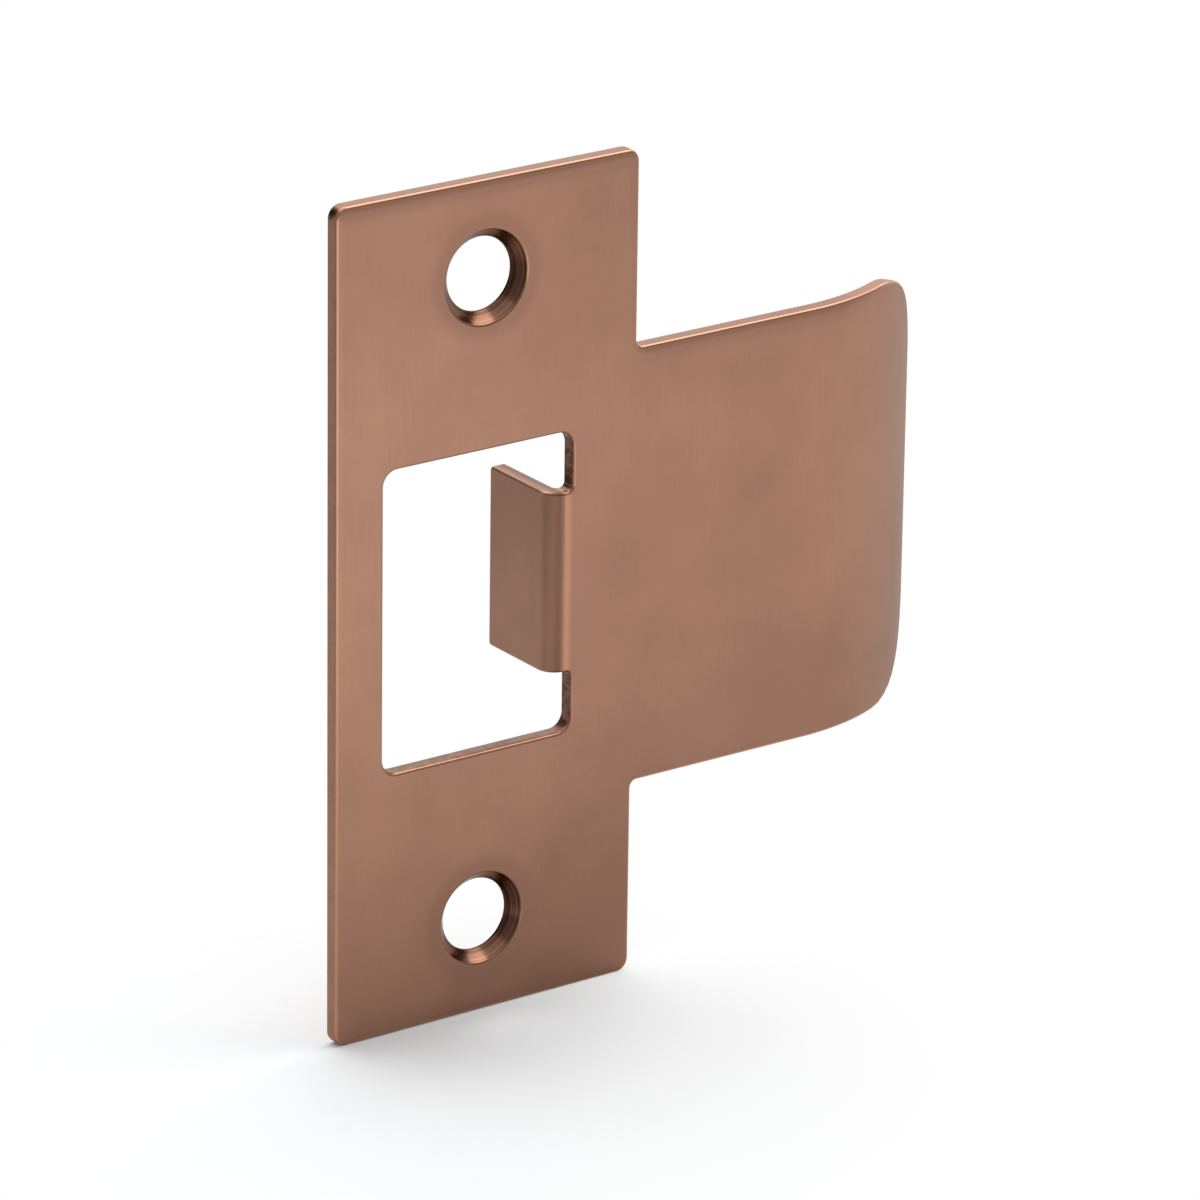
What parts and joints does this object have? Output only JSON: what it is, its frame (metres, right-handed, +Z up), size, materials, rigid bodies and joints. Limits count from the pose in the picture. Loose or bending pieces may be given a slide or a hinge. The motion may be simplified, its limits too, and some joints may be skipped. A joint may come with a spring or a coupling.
{
  "type": "door strike plate",
  "caption": "Flat door strike plate with a rounded latch opening, a tab folded back at its side, sunk screw holes and a long lip that curls back to guide the latch.",
  "frame": {"origin": "midway between the screw holes, in the plane of the back face that lies against the door frame", "axes": "+Z up the plate along its length, -Y out of the front face, +X towards the lip's free end"},
  "size_m": [0.0607, 0.0085, 0.07],
  "materials": {
    "brushed_metal": "upright brushed grain, copper-toned satin"
  },
  "bodies": {
    "root": {"strike_plate": "brushed_metal"}
  },
  "joints": []
}
